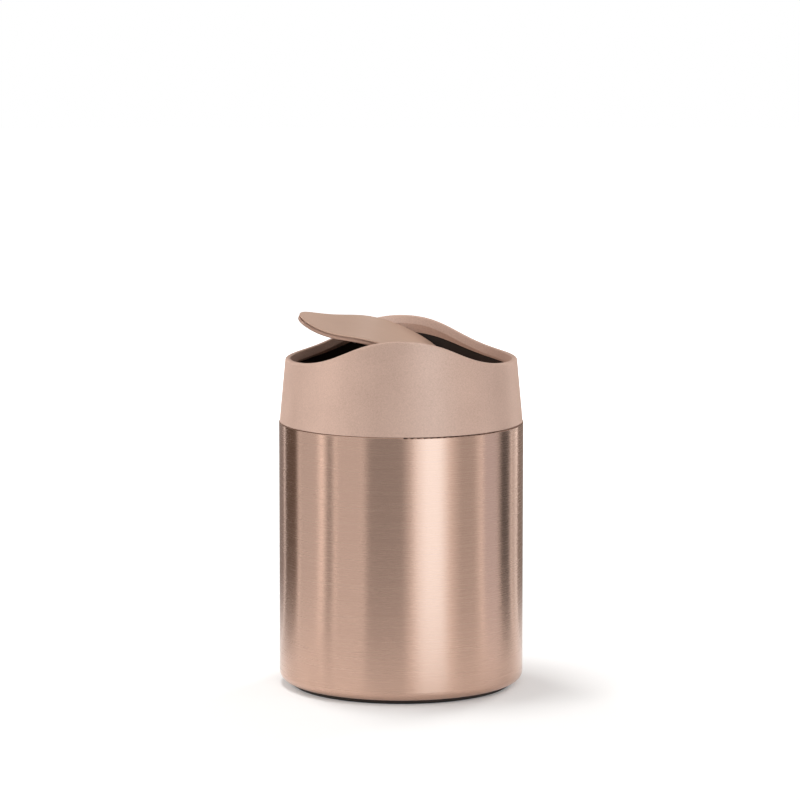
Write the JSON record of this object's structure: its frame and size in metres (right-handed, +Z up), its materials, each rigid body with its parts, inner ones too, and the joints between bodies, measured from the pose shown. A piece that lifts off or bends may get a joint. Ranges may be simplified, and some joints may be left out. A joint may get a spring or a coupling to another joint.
{
  "type": "push top countertop bin",
  "caption": "Small round countertop bin: brushed steel body, lift-out bucket, and a lift-off collar whose arched lid plate swings on two pins when one side is pushed.",
  "frame": {"origin": "middle of the base, on the table", "axes": "+Z up; X across, +X is the side of the lid drawn pushed down; the lid's pivot axis runs along Y, front at -Y"},
  "size_m": [0.1232, 0.1232, 0.1882],
  "materials": {
    "brushed_rose_steel": "brushed round the body, rose tint",
    "black_plastic": "fine matt",
    "bucket_plastic": "matt, slight sheen",
    "foot_rubber": "matt rubber",
    "pearl_paint": "satin pearl paint",
    "lid_paint": "satin pearl paint",
    "grip_rubber": "soft matt",
    "nylon": "natural nylon",
    "pin_steel": "ground",
    "screw_steel": "zinc plated",
    "weight_steel": "dark, sawn bar"
  },
  "bodies": {
    "body": {"steel_shell": "brushed_rose_steel", "floor_pan": "black_plastic", "base_ring": "black_plastic", "foot_ring": "foot_rubber", "base_screws": "screw_steel"},
    "bucket": {"inner_bucket": "bucket_plastic"},
    "collar": {"collar_shell": "pearl_paint", "collar_carrier": "black_plastic", "grip_ring": "grip_rubber", "collar_screws": "screw_steel", "front_pivot_bush": "nylon", "rear_pivot_bush": "nylon", "front_stop_cap": "grip_rubber", "rear_stop_cap": "grip_rubber"},
    "lid": {"lid_top": "lid_paint", "lid_frame": "lid_paint", "lid_screws": "screw_steel", "lid_weight": "weight_steel", "weight_screws": "screw_steel", "front_pivot_pin": "pin_steel", "rear_pivot_pin": "pin_steel"}
  },
  "joints": [
    {"name": "bucket_lift", "type": "slide", "parent": "body", "child": "bucket", "axis": [0, 0, 1], "range_m": [0, 0.135]},
    {"name": "collar_lift", "type": "slide", "parent": "bucket", "child": "collar", "axis": [0, 0, 1], "range_m": [0, 0.06]},
    {"name": "lid_swing", "type": "hinge", "parent": "collar", "child": "lid", "pos_m": [0, 0, 0.1725], "axis": [0, 1, 0], "range_deg": [-84.1, 35.9]}
  ]
}
